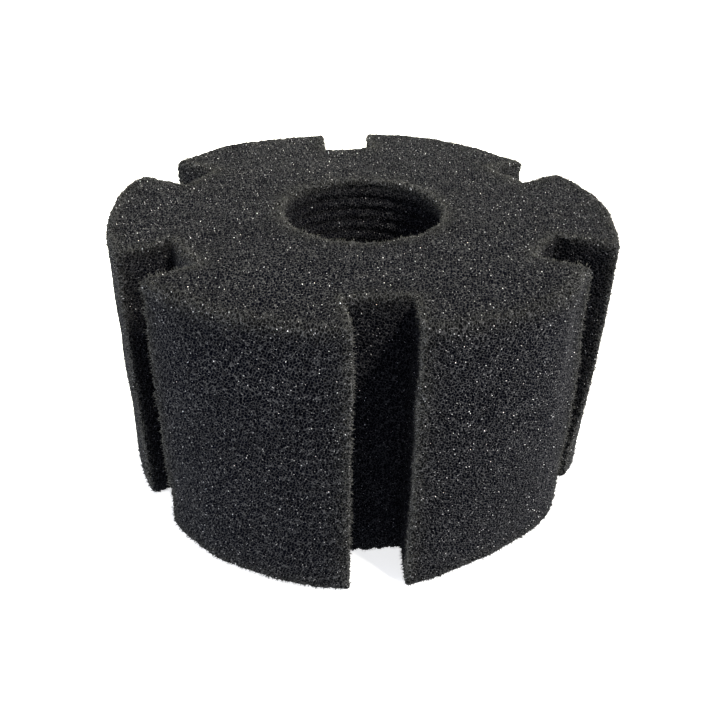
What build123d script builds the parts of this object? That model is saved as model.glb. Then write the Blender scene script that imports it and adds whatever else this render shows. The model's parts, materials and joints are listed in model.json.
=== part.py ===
"""Filter foam for a pond or aquarium filter: one block of open-cell foam, cut from a slab.

Millimetres, +Z up. The origin is the middle of the bottom face, where the bore's axis meets it,
and one of the rim slots faces -Y.
"""

import os

from build123d import *

# Driving dimensions
HEIGHT = 100.0  # thickness of the slab that the ring is cut from
OUTER_DIAMETER = 180.0
BORE_DIAMETER = 60.0  # hole for the filter's centre tube
SLOT_COUNT = 6
SLOT_WIDTH = 20.5
SLOT_DEPTH = 20.0  # from the round rim to the flat floor of the slot
FIRST_SLOT_ANGLE = -90.0
RIM_ROUNDING = 2.0  # soft edge between the rim and the two flat faces

OUTER_RADIUS = OUTER_DIAMETER / 2
BORE_RADIUS = BORE_DIAMETER / 2
SLOT_FLOOR_RADIUS = OUTER_RADIUS - SLOT_DEPTH
SLOT_CUT_LENGTH = 2 * SLOT_DEPTH  # the cutter runs out past the rim

os.makedirs("parts", exist_ok=True)


# Foam body: a ring with six open slots down its rim
with BuildPart() as foam_body:
    with BuildSketch() as ring_outline:
        Circle(OUTER_RADIUS)
        Circle(BORE_RADIUS, mode=Mode.SUBTRACT)
        with PolarLocations(SLOT_FLOOR_RADIUS, SLOT_COUNT, start_angle=FIRST_SLOT_ANGLE):
            Rectangle(SLOT_CUT_LENGTH, SLOT_WIDTH, align=(Align.MIN, Align.CENTER), mode=Mode.SUBTRACT)
    extrude(amount=HEIGHT)
    circles = foam_body.edges().filter_by(GeomType.CIRCLE)
    rim_edges = circles.filter_by(lambda edge: edge.radius > SLOT_FLOOR_RADIUS)
    fillet(rim_edges, RIM_ROUNDING)

foam_body.part.label = "foam_body"
export_step(foam_body.part, "parts/foam_body.step")
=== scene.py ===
"""Looks of the filter foam: one block of black open-cell foam, cut from a slab, with its pores in the mesh,
and the cut ends of struts that stand out of it.

Metres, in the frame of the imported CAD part: +Z up, the bore on the Z axis, a rim slot facing -Y.
"""

import json
import math

import bpy
import numpy as np
from mathutils import Matrix, Vector


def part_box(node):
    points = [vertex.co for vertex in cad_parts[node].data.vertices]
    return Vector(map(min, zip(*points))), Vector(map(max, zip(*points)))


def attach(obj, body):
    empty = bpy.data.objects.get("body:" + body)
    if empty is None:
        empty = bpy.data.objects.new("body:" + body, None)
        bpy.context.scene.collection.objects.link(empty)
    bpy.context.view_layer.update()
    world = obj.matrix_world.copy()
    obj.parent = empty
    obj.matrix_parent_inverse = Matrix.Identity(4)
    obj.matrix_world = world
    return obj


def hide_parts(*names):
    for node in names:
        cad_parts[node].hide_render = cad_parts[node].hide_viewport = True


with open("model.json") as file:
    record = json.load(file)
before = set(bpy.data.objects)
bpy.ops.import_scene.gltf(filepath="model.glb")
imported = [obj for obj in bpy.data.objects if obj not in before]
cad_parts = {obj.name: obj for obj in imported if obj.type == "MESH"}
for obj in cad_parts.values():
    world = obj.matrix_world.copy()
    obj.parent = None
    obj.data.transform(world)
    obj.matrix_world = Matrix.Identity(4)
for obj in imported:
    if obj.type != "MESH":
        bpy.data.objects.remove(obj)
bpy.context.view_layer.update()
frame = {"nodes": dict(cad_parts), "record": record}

MM = 0.001

# The ring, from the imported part
LOW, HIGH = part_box("foam_body")
HEIGHT = HIGH.z - LOW.z
RIM_RADIUS = (HIGH.x - LOW.x) / 2
MOUNTS = {mount["name"]: mount for mount in frame["record"]["mounts"]}
BORE_RADIUS = MOUNTS["centre_bore"]["dims"]["r_mm"] * MM
SLOT_MIDDLE = Vector(MOUNTS["slot_front"]["pos_m"]).xy.length  # from the bore's axis to half its depth
SLOT_FLOOR = 2 * SLOT_MIDDLE - RIM_RADIUS
SLOT_HALF_WIDTH = 10.25 * MM
SLOT_COUNT = 6
SLOT_TURN = 2 * math.pi / SLOT_COUNT
FIRST_SLOT = -math.pi / 2
CORNER_OUT = math.sqrt(RIM_RADIUS**2 - SLOT_HALF_WIDTH**2)  # of a slot's two rim corners, along its axis
SLOT_DEPTH = CORNER_OUT - SLOT_FLOOR
CORNER_ANGLE = math.asin(SLOT_HALF_WIDTH / RIM_RADIUS)  # between a slot's axis and its rim corners

# Foam
PORE_PITCH = 0.95 * MM
PORE_DEPTH = 0.8 * MM
PORE_SIDE = (0.02, 0.35)  # where a pore's side starts and ends, in pitches from the nearest wall
CELL_STRETCH = 1.6  # cells are this much longer along Y, the way the slab rose
CELL_RANDOMNESS = 0.8
STRUT_RISE = 0.5 * MM  # how far the struts round a pore stand out of the cut face
STRUT_WIDTH = 0.13 * MM
STRUT_BRIGHTNESS = 0.8  # in the middle of a strut, from where it fades to nothing at STRUT_WIDTH
STRUT_UNEVENNESS = 0.45 * MM  # from a bright stretch of a strut to the next dull one
# Shades: noise from the first value to the second turns into brightness from the third to the fourth
STRUT_SHADES = (0.30, 0.72, 0.5, 1.5)
FACET_PITCH = 0.55 * MM
FACET_RADII = (0.05, 0.35)  # of the pitch: full brightness within the first, none past the second
# Painted glints' brightness: a facet's chance, from 0 to 1, to this power and times this gain
DIM_PAINTED_GLINTS = (3.0, 10.0)
BRIGHT_PAINTED_GLINTS = (16.0, 120.0)
# Painted light: struts and glints are drawn this much brighter on an edge, for the light that comes through
EDGE_PAINTED_GLOW = 1.4
GRAIN_TURN = (0.6, 1.1, 0.4)
TUFT_SIZE = 2.2 * MM
TUFT_HEIGHT = 0.3 * MM
EDGE_RAGGEDNESS = 6.0  # how many times higher the tufts are on an edge
RAGGED_FROM = 0.2  # edge light where the tufts start to grow
WAVE_SIZE = 22 * MM
WAVE_HEIGHT = 1.6 * MM
PATCH_SIZE = 14 * MM
PATCH_SHADES = (0.3, 0.7, 0.92, 1.08)
BUMP_HEIGHT = 0.2 * MM
PORE_ROUGHNESS = 0.8
GLINT_ROUGHNESS = 0.4
SPECULAR_LEVEL = 0.002
MESH_STEP = 0.45 * MM
SOFTENING_ROUNDS = 12
SOFTENING = 0.5  # how far a round moves each point towards the middle of its neighbours
EDGE_REACH = 2.5 * MM  # light gets this far in through the open struts of an edge

# Strut ends that stand out of the cut, thickest along the edges
END_COUNT = 48000
END_LENGTH = (0.4 * MM, 1.6 * MM)
END_WIDTH = 0.16 * MM
END_SPLAY = 0.4
ENDS_ON_EDGE = 20.0  # how many more stand on an edge for each one on as much of a face

# Painted shade: the pores' depths are drawn near-black and bluish, as the shade that falls in them
PORE_PAINTED_SHADE = (0.0013, 0.0016, 0.0034, 1)
# Painted light: the pores at an edge are drawn hazy and lighter
EDGE_PORE_PAINTED_HAZE = (0.009, 0.0092, 0.0085, 1)  # hazy, with the light that comes through
STRUT_GREY = 0.058
# Painted light: thin strut ends near an edge are drawn pale
END_PAINTED_LIGHT = (0.18, 0.18, 0.165, 1)  # thin ends let some light through

# The bore's cutter left rings
RING_PITCH = 4.6 * MM
RING_DEPTH = 0.35 * MM
RING_REACH = 2 * MM

# The cut isn't true. Each stray: angle and height of its middle, its reach in degrees and in height,
# then how far the rim moves out and how far it moves up.
STRAYS = (
    (4, 0.9, 11, 0.5, 1.4 * MM, 0.0),
    (44, 1.0, 9, 0.9, -1.8 * MM, 0.0),
    (72, 1.0, 20, 0.6, 0.6 * MM, 1.1 * MM),
    (125, 1.0, 14, 0.6, 0.4 * MM, 1.4 * MM),
    (162, 1.0, 13, 0.6, 1.8 * MM, 1.0 * MM),
    (198, 0.0, 8, 0.3, -1.0 * MM, 0.0),
    (215, 0.0, 12, 0.5, -1.6 * MM, 0.0),
    (250, 0.0, 16, 0.4, 0.2 * MM, 0.2 * MM),
    (300, 0.0, 22, 0.35, -3.8 * MM, 0.0),
    (332, 0.0, 9, 0.35, -4.6 * MM, 0.0),
    (321, 0.9, 8, 0.6, -4.0 * MM, 0.0),
    (341, 0.85, 8, 0.5, 1.0 * MM, 0.0),
    (350, 0.35, 14, 0.5, -0.6 * MM, 0.0),
)
# Three slots aren't true. Each: number of the slot, how far its rim end is off, across it, and how much
# too deep it is.
SLOT_STRAYS = ((1, 0.0, 2.6 * MM), (3, 1.8 * MM, 0.0), (4, -1.4 * MM, 0.0))
SLOT_STRAY_REACH = 15 * MM
SLOT_FLOOR_REACH = 8 * MM
# The front slot widens on its left towards the floor of the slot, most at the top
FLARE = 2.0 * MM
FLARE_REACH = 9 * MM
FLARE_WALL = 3 * MM
FLARE_HEIGHT = 0.45

SHEET_GAP = 6 * MM  # between the unrolled faces, in the texture's layout
UPRIGHT = 0.7  # a face whose normal is more upright than this is part of the top or the bottom
SQUARE_INSET = 0.1  # of a spike's corners from the sides of its square in its own layout

# Stage
PAPER_PATCH_SIZE = 0.3
PAPER_SHADES = (0.2, 0.8, 0.79, 0.81)
KEY_WAY = Vector((1.0, -1.05, 1.9)).normalized()  # from the middle of the block
KEY_DISTANCE = 1.2


# ---------------------------------------------------------------- node helpers
def node(tree, kind, inputs=(), **settings):
    """Adds a node, sets its attributes, then its inputs by name or number: a value, or a socket to link."""
    made = tree.nodes.new(kind)
    for name, value in settings.items():
        setattr(made, name, value)
    for key, value in dict(inputs).items():
        if isinstance(value, bpy.types.NodeSocket):
            tree.links.new(value, made.inputs[key])
        else:
            made.inputs[key].default_value = value
    return made


def math_node(tree, operation, a, b=0.0):
    return node(tree, "ShaderNodeMath", {0: a, 1: b}, operation=operation).outputs[0]


def smooth_step(tree, value, low, high, to_low=0.0, to_high=1.0):
    limits = {"Value": value, "From Min": low, "From Max": high, "To Min": to_low, "To Max": to_high}
    return node(tree, "ShaderNodeMapRange", limits, interpolation_type="SMOOTHSTEP").outputs[0]


def mix_colour(tree, share, a, b, blend="MIX"):
    mixed = node(tree, "ShaderNodeMix", {0: share, 6: a, 7: b}, data_type="RGBA", blend_type=blend)
    return mixed.outputs[2]


def grey(tree, value):
    return node(tree, "ShaderNodeCombineColor", {0: value, 1: value, 2: value}).outputs[0]


def noise(tree, where, size, detail=2.0):
    made = node(tree, "ShaderNodeTexNoise", {"Vector": where, "Scale": 1 / size, "Detail": detail})
    return made.outputs["Fac"]


def attribute(tree, name, output="Fac"):
    return node(tree, "ShaderNodeAttribute", attribute_name=name).outputs[output]


# ---------------------------------------------------------------- the ring's outline
def slot_axis(number):
    return FIRST_SLOT + number * SLOT_TURN


def along_and_across(x, y, number):
    axis = slot_axis(number)
    return x * np.cos(axis) + y * np.sin(axis), y * np.cos(axis) - x * np.sin(axis)


def slot_frame(x, y):
    """The nearest slot's number at each point, and how far along its axis and across it the point is."""
    number = np.round((np.arctan2(y, x) - FIRST_SLOT) / SLOT_TURN)
    return (number % SLOT_COUNT, *along_and_across(x, y, number))


def depth_from_walls(x, y):
    """Distance in from the nearest wall: rim, slot or bore."""
    _, out, across = slot_frame(x, y)
    radius = np.hypot(x, y)
    to_slot = np.hypot(np.maximum(SLOT_FLOOR - out, 0), np.maximum(np.abs(across) - SLOT_HALF_WIDTH, 0))
    return np.minimum(np.minimum(RIM_RADIUS - radius, radius - BORE_RADIUS), to_slot).clip(0)


def edge_light(place):
    """1 on a convex edge, fading to 0 where the foam is thick behind the surface."""
    x, y, z = place.T
    _, out, across = slot_frame(x, y)
    to_face = np.minimum(z - LOW.z, HIGH.z - z).clip(0)
    to_edge = depth_from_walls(x, y) + to_face
    to_corner = np.hypot(out - CORNER_OUT, np.abs(across) - SLOT_HALF_WIDTH)
    return np.exp(-np.minimum(to_edge, to_corner) / EDGE_REACH)


def outline_run(x, y):
    """How far round the outline each point is, down into every slot and out again, and the whole run."""
    number, out, across = slot_frame(x, y)
    past_corner = RIM_RADIUS * (np.abs(np.arctan2(across, out)) - CORNER_ANGLE)
    off_floor = np.where(np.abs(across) < SLOT_HALF_WIDTH, np.abs(out - SLOT_FLOOR), np.inf)
    off_wall = np.where(out > SLOT_FLOOR, np.abs(np.abs(across) - SLOT_HALF_WIDTH), np.inf)
    off_rim = np.abs(RIM_RADIUS - np.hypot(x, y))
    runs = (np.abs(across), SLOT_HALF_WIDTH + out - SLOT_FLOOR, SLOT_HALF_WIDTH + SLOT_DEPTH + past_corner)
    run = np.choose(np.argmin((off_floor, off_wall, off_rim), axis=0), runs)
    sector = 2 * (SLOT_HALF_WIDTH + SLOT_DEPTH + RIM_RADIUS * (SLOT_TURN / 2 - CORNER_ANGLE))
    return number * sector + np.sign(across) * run, SLOT_COUNT * sector


# ---------------------------------------------------------------- meshes and numpy
def read(items, field, width, kind=np.float32):
    """One value, or a row of them, from each item of a mesh."""
    flat = np.empty(width * len(items), kind)
    items.foreach_get(field, flat)
    return flat.reshape(-1, width)


def write(items, field, values):
    items.foreach_set(field, np.asarray(values, np.float32).ravel())


def new_object(name, mesh):
    obj = bpy.data.objects.new(name, mesh)
    bpy.context.scene.collection.objects.link(obj)
    return obj


def apply_modifiers(obj):
    """Replaces the object's mesh by what its modifiers make of it."""
    graph = bpy.context.evaluated_depsgraph_get()
    made = bpy.data.meshes.new_from_object(obj.evaluated_get(graph), depsgraph=graph)
    obj.modifiers.clear()
    old = obj.data
    obj.data = made
    made.name = obj.name
    bpy.data.meshes.remove(old)


# ---------------------------------------------------------------- foam block
def foam_block():
    """The block: the CAD solid with softened edges, in a mesh fine enough to carry the pores."""
    mesh = frame["nodes"]["foam_body"].data.copy()
    mesh.name = "foam_block"
    mesh.materials.clear()
    block = new_object("foam_block", mesh)
    remesh = block.modifiers.new("remesh", "REMESH")
    remesh.mode = "VOXEL"
    remesh.voxel_size = MESH_STEP
    remesh.adaptivity = 0.0
    remesh.use_smooth_shade = True
    soften = block.modifiers.new("soften", "SMOOTH")
    soften.factor = SOFTENING
    soften.iterations = SOFTENING_ROUNDS
    apply_modifiers(block)
    return block


def hump(*away):
    """1 in the middle, fading to 0 all round. Each argument says how many reaches away the points are."""
    return np.exp(-sum(one**2 for one in away))


def rim_strays(place, near_rim):
    """How far out and how far up the knife strayed at each point."""
    x, y, z = place.T
    angle = np.degrees(np.arctan2(y, x))
    height = (z - LOW.z) / HEIGHT
    out = np.zeros_like(x)
    up = np.zeros_like(x)
    for middle, level, reach, level_reach, stray_out, stray_up in STRAYS:
        turn = (angle - middle + 180) % 360 - 180
        share = near_rim * hump(turn / reach, (height - level) / level_reach)
        out += share * stray_out
        up += share * stray_up
    return out, up


def shift_slots(moved, place, near_rim):
    """Moves the points of the slots that aren't true, sideways at the rim and inwards at the floor."""
    for number, stray, deeper in SLOT_STRAYS:
        axis = slot_axis(number)
        along, across = along_and_across(*place.T[:2], number)
        share = near_rim * (along > 0) * hump(across / SLOT_STRAY_REACH)
        moved[:, :2] += (share * stray)[:, None] * (-math.sin(axis), math.cos(axis))
        at_floor = hump((along - SLOT_FLOOR) / SLOT_FLOOR_REACH, across / SLOT_STRAY_REACH)
        moved[:, :2] -= (at_floor * deeper)[:, None] * (math.cos(axis), math.sin(axis))


def widen_front_slot(moved, place):
    x, y, z = place.T
    along, across = along_and_across(x, y, 0)
    at_wall = (along > 0) * hump((across + SLOT_HALF_WIDTH) / FLARE_WALL)
    at_top = hump((along - SLOT_FLOOR) / FLARE_REACH, ((z - LOW.z) / HEIGHT - 1) / FLARE_HEIGHT)
    moved[:, 0] -= FLARE * at_wall * at_top


def cut_unevenly(block, place):
    """Moves the rim and the slots where the knife strayed, and cuts the rings into the bore's wall."""
    x, y, z = place.T
    radius = np.hypot(x, y)
    near_rim = ((radius - BORE_RADIUS) / (RIM_RADIUS - BORE_RADIUS)).clip(0, 1) ** 2
    out, up = rim_strays(place, near_rim)
    in_bore = hump((radius - BORE_RADIUS) / RING_REACH)
    out += in_bore * RING_DEPTH * np.sin(2 * math.pi * (z - LOW.z) / RING_PITCH)
    moved = np.column_stack((x * (1 + out / radius), y * (1 + out / radius), z + up))
    shift_slots(moved, place, near_rim)
    widen_front_slot(moved, place)
    write(block.data.vertices, "co", moved)
    write(block.data.attributes.new("edge_light", "FLOAT", "POINT").data, "value", edge_light(place))
    block.data.update()


def turned_grain(tree, place):
    """Turned, so that no face of the block lies along the pattern's own grid."""
    along_y = (1, 1 / CELL_STRETCH, 1)
    squeezed = node(tree, "ShaderNodeVectorMath", {0: place, 1: along_y}, operation="MULTIPLY").outputs[0]
    turned = node(tree, "ShaderNodeVectorRotate", {"Vector": squeezed, "Rotation": GRAIN_TURN},
                  rotation_type="EULER_XYZ")
    return turned.outputs[0]


def pore_walls(tree, place):
    """Distance from each place in the foam to the nearest wall between two pores, in pore pitches."""
    cells = {"Vector": turned_grain(tree, place), "Scale": 1 / PORE_PITCH, "Randomness": CELL_RANDOMNESS}
    return node(tree, "ShaderNodeTexVoronoi", cells, feature="DISTANCE_TO_EDGE").outputs["Distance"]


def bumps(tree, place, size, height):
    """Noise about zero, of this size from hump to hump and this height in all."""
    centred = math_node(tree, "SUBTRACT", noise(tree, place, size, 1.0), 0.5)
    return math_node(tree, "MULTIPLY", centred, height)


def carve_pores(block):
    """Sinks the pores into the surface, and keeps each point's place in the solid foam for the material."""
    tree = bpy.data.node_groups.new("pores", "GeometryNodeTree")
    tree.interface.new_socket("Geometry", in_out="INPUT", socket_type="NodeSocketGeometry")
    tree.interface.new_socket("Geometry", in_out="OUTPUT", socket_type="NodeSocketGeometry")
    start = tree.nodes.new("NodeGroupInput").outputs[0]
    place = tree.nodes.new("GeometryNodeInputPosition").outputs[0]
    stored = {"Geometry": start, "Name": "foam_place", "Value": place}
    kept = node(tree, "GeometryNodeStoreNamedAttribute", stored, data_type="FLOAT_VECTOR").outputs[0]
    named = {"Name": "edge_light"}
    edge = node(tree, "GeometryNodeInputNamedAttribute", named, data_type="FLOAT").outputs[0]
    raggedness = smooth_step(tree, edge, RAGGED_FROM, 1.0, 1.0, EDGE_RAGGEDNESS)
    tufts = math_node(tree, "MULTIPLY", bumps(tree, place, TUFT_SIZE, TUFT_HEIGHT), raggedness)
    waves = bumps(tree, place, WAVE_SIZE, WAVE_HEIGHT)
    rise = math_node(tree, "ADD", math_node(tree, "ADD", tufts, waves), STRUT_RISE)
    depth = smooth_step(tree, pore_walls(tree, place), *PORE_SIDE, 0.0, PORE_DEPTH)
    normal = tree.nodes.new("GeometryNodeInputNormal").outputs[0]
    move = math_node(tree, "SUBTRACT", rise, depth)
    offset = node(tree, "ShaderNodeVectorMath", {0: normal, "Scale": move}, operation="SCALE").outputs[0]
    moved = node(tree, "GeometryNodeSetPosition", {"Geometry": kept, "Offset": offset}).outputs[0]
    end = tree.nodes.new("NodeGroupOutput")
    tree.links.new(moved, end.inputs[0])
    block.modifiers.new("pores", "NODES").node_group = tree
    apply_modifiers(block)


def unrolled(along, whole):
    """The corners of each face, all on one side of the seam, and which half of the run the face is in."""
    first = along[:, :1] % whole
    together = first + (along - first + whole / 2) % whole - whole / 2
    return together, np.floor(together.mean(axis=1, keepdims=True) / (whole / 2)).clip(0, 1)


def lay_out(block, place):
    """Texture coordinates: both faces flat, the bore unrolled, and the rim with its slots in two halves."""
    mesh = block.data
    corner = read(mesh.loops, "vertex_index", 1, np.int32).reshape(-1, 4)
    spot = place[corner]
    x, y, z = np.moveaxis(spot, 2, 0)
    normal = np.cross(spot[:, 2] - spot[:, 0], spot[:, 3] - spot[:, 1])
    flat = (np.abs(normal[:, 2]) > UPRIGHT * np.linalg.norm(normal, axis=1))[:, None]
    top = z > (LOW.z + HIGH.z) / 2
    in_bore = (np.hypot(x, y).mean(axis=1) < (BORE_RADIUS + SLOT_FLOOR) / 2)[:, None]
    run, whole_run = outline_run(place[:, 0], place[:, 1])
    rim, half = unrolled(run[corner], whole_run)
    bore_run = 2 * math.pi * BORE_RADIUS
    bore, _ = unrolled(BORE_RADIUS * np.arctan2(y, x), bore_run)
    up = z - LOW.z
    disc = RIM_RADIUS + SHEET_GAP  # middle of the top face, from the layout's left and lower borders
    second_disc = disc + 2 * RIM_RADIUS + SHEET_GAP
    bore_left = second_disc + disc
    strips_low = bore_run + 2 * SHEET_GAP
    strip_step = HEIGHT + SHEET_GAP
    u = np.where(in_bore, bore_left + up, SHEET_GAP + rim - half * whole_run / 2)
    u = np.where(flat, np.where(top, disc + x, second_disc - x), u)
    v = np.where(in_bore, SHEET_GAP + bore, strips_low + up + half * strip_step)
    v = np.where(flat, disc + y, v)
    whole = (bore_left + strip_step, strips_low + 2 * strip_step)
    write(mesh.uv_layers.new(name="OFBake").uv, "vector", np.stack((u, v), axis=-1) / whole)


def strut_ends(block):
    """Cut ends of struts: thin spikes out of the block, each with its own square of the texture."""
    mesh = block.data
    chance = np.random.default_rng(seed=7)
    weight = 1 + ENDS_ON_EDGE * read(mesh.attributes["edge_light"].data, "value", 1)[:, 0].astype(float)
    root = chance.choice(len(mesh.vertices), END_COUNT, replace=False, p=weight / weight.sum())
    place = read(mesh.vertices, "co", 3)[root]
    lean = read(mesh.vertices, "normal", 3)[root] + END_SPLAY * chance.normal(size=place.shape)
    lean /= np.linalg.norm(lean, axis=1, keepdims=True)
    side = np.cross(lean, chance.normal(size=place.shape))
    side *= END_WIDTH / np.linalg.norm(side, axis=1, keepdims=True)
    other = np.cross(lean, side)
    foot = place - lean * END_WIDTH
    tip = place + lean * chance.uniform(*END_LENGTH, (END_COUNT, 1))
    corners = np.stack((foot + side, foot - side / 2 + other, foot - side / 2 - other, tip), axis=1)
    pattern = np.array(((0, 1, 3), (1, 2, 3), (2, 0, 3), (2, 1, 0)))
    faces = (4 * np.arange(END_COUNT)[:, None, None] + pattern).reshape(-1, 3)
    spikes = bpy.data.meshes.new("strut_ends")
    spikes.from_pydata(corners.reshape(-1, 3), [], faces)
    spikes.shade_smooth()
    inside = read(mesh.attributes["foam_place"].data, "vector", 3)[root]
    inside = inside[:, None] + corners - place[:, None]
    edge = read(mesh.attributes["edge_light"].data, "value", 1)[root]
    write(spikes.attributes.new("foam_place", "FLOAT_VECTOR", "POINT").data, "vector", inside)
    write(spikes.attributes.new("edge_light", "FLOAT", "POINT").data, "value", np.repeat(edge, 4))
    at_tip = np.tile((0, 0, 0, 1), END_COUNT)
    write(spikes.attributes.new("strut_tip", "FLOAT", "POINT").data, "value", at_tip)
    squares = math.ceil(math.sqrt(END_COUNT))
    low_corner = np.column_stack(np.divmod(np.arange(END_COUNT), squares))
    low, middle, high = SQUARE_INSET, 0.5, 1 - SQUARE_INSET
    in_square = np.array(((low, low), (high, low), (middle, low), (middle, high)))[pattern.ravel()]
    spots = (low_corner[:, None] + in_square) / squares
    write(spikes.uv_layers.new(name="OFBake").uv, "vector", spots)
    return new_object("strut_ends", spikes)


def foam_material():
    """Dark grey struts round pores painted near-black as shade, with painted glints on random facets and
    painted light along the edges.
    """
    material = bpy.data.materials.new("black_open_cell_foam")
    material.use_nodes = True
    tree = material.node_tree
    shader = tree.nodes["Principled BSDF"]
    place = attribute(tree, "foam_place", "Vector")
    edge = attribute(tree, "edge_light")

    from_wall = pore_walls(tree, place)
    strut = smooth_step(tree, from_wall, 0.0, STRUT_WIDTH / PORE_PITCH, STRUT_BRIGHTNESS, 0.0)
    uneven = smooth_step(tree, noise(tree, place, STRUT_UNEVENNESS, 0.0), *STRUT_SHADES)
    struts = math_node(tree, "MULTIPLY", strut, uneven)

    # Painted highlights: bright glints drawn on random facets and kept to the struts, not made by a lamp
    cells = {"Vector": turned_grain(tree, place), "Scale": 1 / FACET_PITCH, "Randomness": CELL_RANDOMNESS}
    facets = node(tree, "ShaderNodeTexVoronoi", cells)
    facet = smooth_step(tree, facets.outputs["Distance"], *FACET_RADII, 1.0, 0.0)
    chance = node(tree, "ShaderNodeSeparateColor", {0: facets.outputs["Color"]}).outputs[0]
    brightness = [math_node(tree, "MULTIPLY", math_node(tree, "POWER", chance, power), gain)
                  for power, gain in (DIM_PAINTED_GLINTS, BRIGHT_PAINTED_GLINTS)]
    painted_glints = math_node(tree, "MULTIPLY", facet, math_node(tree, "ADD", *brightness))
    # painted light: brighter towards an edge
    painted_edge_glow = smooth_step(tree, edge, 0.0, 1.0, 1.0, EDGE_PAINTED_GLOW)
    painted_glints = math_node(tree, "MULTIPLY", painted_glints, strut)
    struts_and_painted_light = math_node(tree, "MULTIPLY", math_node(tree, "ADD", struts, painted_glints), painted_edge_glow)

    # painted shade in the pores, hazier towards an edge with painted light that comes through
    pore = mix_colour(tree, edge, PORE_PAINTED_SHADE, EDGE_PORE_PAINTED_HAZE)
    colour = mix_colour(tree, 1.0, pore, grey(tree, math_node(tree, "MULTIPLY", struts_and_painted_light, STRUT_GREY)), "ADD")
    # painted light: strut tips near an edge are drawn pale, as if lit through
    through = math_node(tree, "MULTIPLY", attribute(tree, "strut_tip"), edge)
    colour = mix_colour(tree, through, colour, END_PAINTED_LIGHT)
    patches = smooth_step(tree, noise(tree, place, PATCH_SIZE), *PATCH_SHADES)
    colour = mix_colour(tree, 1.0, colour, grey(tree, patches), "MULTIPLY")
    tree.links.new(colour, shader.inputs["Base Color"])
    roughness = smooth_step(tree, struts_and_painted_light, 0.0, 1.5, PORE_ROUGHNESS, GLINT_ROUGHNESS)
    tree.links.new(roughness, shader.inputs["Roughness"])
    bump = node(tree, "ShaderNodeBump", {"Height": struts_and_painted_light, "Distance": BUMP_HEIGHT, "Strength": 1.0})
    tree.links.new(bump.outputs[0], shader.inputs["Normal"])
    shader.inputs["Specular IOR Level"].default_value = SPECULAR_LEVEL
    return material


# ---------------------------------------------------------------- stage
def floor():
    """A plain pale floor, nearly without shadows. It doesn't shine back up into the foam."""
    size = 4.0  # far past the picture's edges
    below = LOW.z - 0.6 * MM  # the block stands on the struts of its bottom face
    mesh = bpy.data.meshes.new("floor")
    corners = [(-size, -size, below), (size, -size, below), (size, size, below), (-size, size, below)]
    mesh.from_pydata(corners, [], [(0, 1, 2, 3)])
    obj = new_object("floor", mesh)
    obj.visible_diffuse = False
    material = bpy.data.materials.new("pale_paper")
    material.use_nodes = True
    tree = material.node_tree
    shader = tree.nodes["Principled BSDF"]
    place = tree.nodes.new("ShaderNodeNewGeometry").outputs["Position"]
    paper = smooth_step(tree, noise(tree, place, PAPER_PATCH_SIZE), *PAPER_SHADES)
    tree.links.new(grey(tree, paper), shader.inputs["Base Color"])
    shader.inputs["Roughness"].default_value = 0.9
    shader.inputs["Specular IOR Level"].default_value = 0.1
    shader.inputs["Emission Color"].default_value = (1, 1, 1, 1)
    shader.inputs["Emission Strength"].default_value = 0.75
    mesh.materials.append(material)


def area_light(name, place, aim, size, watts, colour):
    """A square lamp that the camera doesn't see, turned towards aim."""
    light = bpy.data.lights.new(name, "AREA")
    light.shape = "SQUARE"
    light.size = size
    light.energy = watts
    light.color = colour
    obj = new_object(name, light)
    obj.location = place
    obj.rotation_euler = (Vector(aim) - Vector(place)).to_track_quat("-Z", "Y").to_euler()
    obj.visible_camera = False


def lights():
    """A small high key on the right, down the front slot, a low light on each side and one behind."""
    middle = Vector((0, 0, HEIGHT / 2))
    key_place = middle + KEY_WAY * KEY_DISTANCE
    back_rim = (0, 0.07, HIGH.z)
    area_light("key", key_place, middle, size=0.16, watts=16.8, colour=(1.03, 0.98, 0.9))
    area_light("left", (-1.32, -0.42, 0.14), middle, size=0.26, watts=34.0, colour=(0.98, 0.99, 0.97))
    area_light("right", (1.36, -0.26, 0.14), middle, size=0.26, watts=41.0, colour=(1.01, 0.99, 0.95))
    area_light("rear", (0.0, 0.4, 0.27), back_rim, size=0.4, watts=9.0, colour=(1.05, 1.02, 0.84))
    world = bpy.data.worlds.new("studio")
    world.use_nodes = True
    background = world.node_tree.nodes["Background"]
    background.inputs["Color"].default_value = (0.86, 0.92, 1.1, 1)
    background.inputs["Strength"].default_value = 0.6
    bpy.context.scene.world = world


def camera():
    """A little left of the front slot, and 31.5 degrees above, with a slight roll."""
    place = Vector((-0.2585, -2.951, 2.172)) * HEIGHT
    aim = Vector((-0.0198, -0.2364, 0.5043)) * HEIGHT
    roll = Matrix.Rotation(math.radians(1.136), 4, "Z")
    data = bpy.data.cameras.new("camera")
    data.lens = 43.085
    data.sensor_width = 36.0
    data.clip_start = 0.01
    obj = new_object("camera", data)
    turned = (aim - place).to_track_quat("-Z", "Y").to_matrix().to_4x4()
    obj.matrix_world = Matrix.Translation(place) @ turned @ roll
    bpy.context.scene.camera = obj


block = foam_block()
true_place = read(block.data.vertices, "co", 3).astype(float)
cut_unevenly(block, true_place)
carve_pores(block)
lay_out(block, true_place)
ends = strut_ends(block)
foam = foam_material()
for piece in (block, ends):
    piece.data.materials.append(foam)
    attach(piece, "root")
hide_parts("foam_body")

floor()
lights()
camera()
bpy.context.scene.view_settings.view_transform = "Standard"
